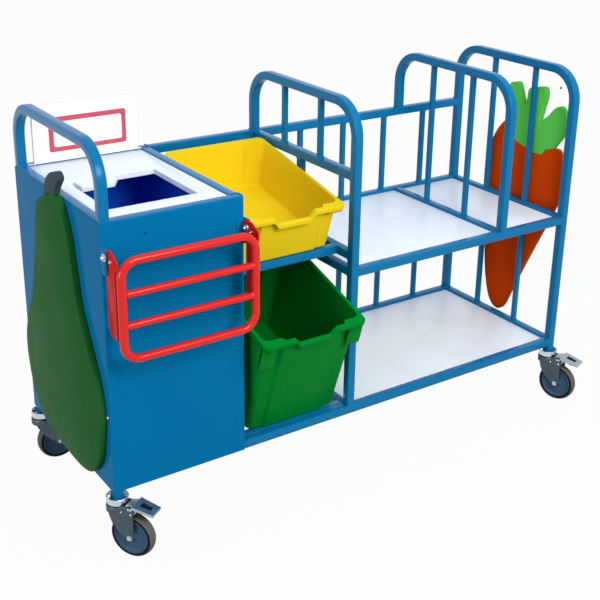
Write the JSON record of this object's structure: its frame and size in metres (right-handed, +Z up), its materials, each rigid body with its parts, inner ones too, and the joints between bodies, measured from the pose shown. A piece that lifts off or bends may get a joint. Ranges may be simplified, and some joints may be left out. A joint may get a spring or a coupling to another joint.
{
  "type": "clearing trolley",
  "caption": "Tube-framed dining hall trolley with a waste cabinet, fold-up rack, two tilted bins, shelves between hoops, fruit and vegetable end boards, and braked castors.",
  "frame": {"origin": "on the floor, under the middle of the whole trolley's bounding box", "axes": "+X along the trolley from the waste cabinet's end to the carrot's end, +Y from the open front to the guard bars at the back, +Z up"},
  "size_m": [1.6936, 0.6722, 1.119],
  "materials": {
    "blue_paint": "gloss",
    "red_paint": "gloss",
    "white_board": "satin laminate",
    "red_print": "satin",
    "white_print": "satin",
    "pear_green_paint": "painted",
    "stem_paint": "painted",
    "carrot_orange_paint": "painted",
    "leaf_green_paint": "painted",
    "blue_plastic": "satin",
    "yellow_plastic": "satin",
    "green_plastic": "satin",
    "zinc": "bright zinc",
    "fork_steel": "dull zinc",
    "hub_plastic": "matte",
    "tyre_rubber": "matte"
  },
  "bodies": {
    "frame": {"hoop_left": "blue_paint", "hoop_middle": "blue_paint", "hoop_shelf": "blue_paint", "hoop_right": "blue_paint", "right_end_frame": "blue_paint", "back_grille_upper": "blue_paint", "back_grille_lower": "blue_paint", "bottom_front_rail": "blue_paint", "shelf_front_rail": "blue_paint", "upper_bin_frame": "blue_paint", "lower_bin_frame": "blue_paint", "cabinet_top_frame": "blue_paint", "cabinet_front_post": "blue_paint", "cabinet_back_post": "blue_paint", "cabinet_cross_rail": "blue_paint", "middle_back_rail": "blue_paint", "cabinet_sheet": "blue_paint", "cabinet_top_board": "white_board", "cabinet_floor_board": "white_board", "shelf_board_left": "white_board", "shelf_board_right": "white_board", "bottom_board": "white_board", "sign_board": "white_board", "sign_border": "red_print", "sign_plate": "white_print", "pear_board": "pear_green_paint", "pear_stem": "stem_paint", "carrot_root": "carrot_orange_paint", "carrot_leaves": "leaf_green_paint", "rack_bracket_left": "blue_paint", "rack_bracket_right": "blue_paint", "rack_bolt_left": "zinc", "rack_bolt_right": "zinc", "castor_front_left_head": "zinc", "castor_front_right_head": "zinc", "castor_back_left_head": "zinc", "castor_back_right_head": "zinc"},
    "rack": {"rack_frame": "red_paint", "rack_plate_left": "red_paint", "rack_plate_right": "red_paint"},
    "waste_bin": {"waste_bin": "blue_plastic"},
    "upper_bin": {"upper_bin": "yellow_plastic"},
    "lower_bin": {"lower_bin": "green_plastic"},
    "front_left_swivel": {"castor_front_left_fork": "fork_steel"},
    "front_left_wheel": {"castor_front_left_tyre": "tyre_rubber", "castor_front_left_hub": "hub_plastic"},
    "front_left_brake": {"castor_front_left_pedal": "zinc"},
    "front_right_swivel": {"castor_front_right_fork": "fork_steel"},
    "front_right_wheel": {"castor_front_right_tyre": "tyre_rubber", "castor_front_right_hub": "hub_plastic"},
    "front_right_brake": {"castor_front_right_pedal": "zinc"},
    "back_left_swivel": {"castor_back_left_fork": "fork_steel"},
    "back_left_wheel": {"castor_back_left_tyre": "tyre_rubber", "castor_back_left_hub": "hub_plastic"},
    "back_left_brake": {"castor_back_left_pedal": "zinc"},
    "back_right_swivel": {"castor_back_right_fork": "fork_steel"},
    "back_right_wheel": {"castor_back_right_tyre": "tyre_rubber", "castor_back_right_hub": "hub_plastic"},
    "back_right_brake": {"castor_back_right_pedal": "zinc"}
  },
  "joints": [
    {"name": "rack_hinge", "type": "hinge", "parent": "frame", "child": "rack", "pos_m": [-0.63274, -0.25868, 0.846], "axis": [-1, 0, 0], "range_deg": [0, 90]},
    {"name": "waste_bin_slide", "type": "slide", "parent": "frame", "child": "waste_bin", "axis": [0, 1, 0], "range_m": [0, 0.45]},
    {"name": "upper_bin_slide", "type": "slide", "parent": "frame", "child": "upper_bin", "axis": [0, -1, 0], "range_m": [0, 0.42]},
    {"name": "lower_bin_slide", "type": "slide", "parent": "frame", "child": "lower_bin", "axis": [0, -1, 0], "range_m": [0, 0.42]},
    {"name": "front_left_swivel_turn", "type": "hinge", "parent": "frame", "child": "front_left_swivel", "pos_m": [-0.81374, -0.22218, 0.143], "axis": [0, 0, 1], "continuous": true},
    {"name": "front_left_wheel_roll", "type": "hinge", "parent": "front_left_swivel", "child": "front_left_wheel", "pos_m": [-0.78978, -0.25908, 0.0625], "axis": [0.8387, 0.5446, 0], "continuous": true},
    {"name": "front_left_brake_press", "type": "hinge", "parent": "front_left_swivel", "child": "front_left_brake", "pos_m": [-0.78651, -0.26411, 0.135], "axis": [0.8387, 0.5446, 0], "range_deg": [0, 12]},
    {"name": "front_right_swivel_turn", "type": "hinge", "parent": "frame", "child": "front_right_swivel", "pos_m": [0.76126, -0.22218, 0.143], "axis": [0, 0, 1], "continuous": true},
    {"name": "front_right_wheel_roll", "type": "hinge", "parent": "front_right_swivel", "child": "front_right_wheel", "pos_m": [0.77558, -0.26378, 0.0625], "axis": [0.9455, 0.3256, 0], "continuous": true},
    {"name": "front_right_brake_press", "type": "hinge", "parent": "front_right_swivel", "child": "front_right_brake", "pos_m": [0.77754, -0.26945, 0.135], "axis": [0.9455, 0.3256, 0], "range_deg": [0, 12]},
    {"name": "back_left_swivel_turn", "type": "hinge", "parent": "frame", "child": "back_left_swivel", "pos_m": [-0.81374, 0.30282, 0.143], "axis": [0, 0, 1], "continuous": true},
    {"name": "back_left_wheel_roll", "type": "hinge", "parent": "back_left_swivel", "child": "back_left_wheel", "pos_m": [-0.76974, 0.30282, 0.0625], "axis": [0, 1, 0], "continuous": true},
    {"name": "back_left_brake_press", "type": "hinge", "parent": "back_left_swivel", "child": "back_left_brake", "pos_m": [-0.76374, 0.30282, 0.135], "axis": [0, 1, 0], "range_deg": [0, 12]},
    {"name": "back_right_swivel_turn", "type": "hinge", "parent": "frame", "child": "back_right_swivel", "pos_m": [0.76126, 0.30282, 0.143], "axis": [0, 0, 1], "continuous": true},
    {"name": "back_right_wheel_roll", "type": "hinge", "parent": "back_right_swivel", "child": "back_right_wheel", "pos_m": [0.78954, 0.26912, 0.0625], "axis": [0.766, 0.6428, 0], "continuous": true},
    {"name": "back_right_brake_press", "type": "hinge", "parent": "back_right_swivel", "child": "back_right_brake", "pos_m": [0.7934, 0.26452, 0.135], "axis": [0.766, 0.6428, 0], "range_deg": [0, 12]}
  ]
}
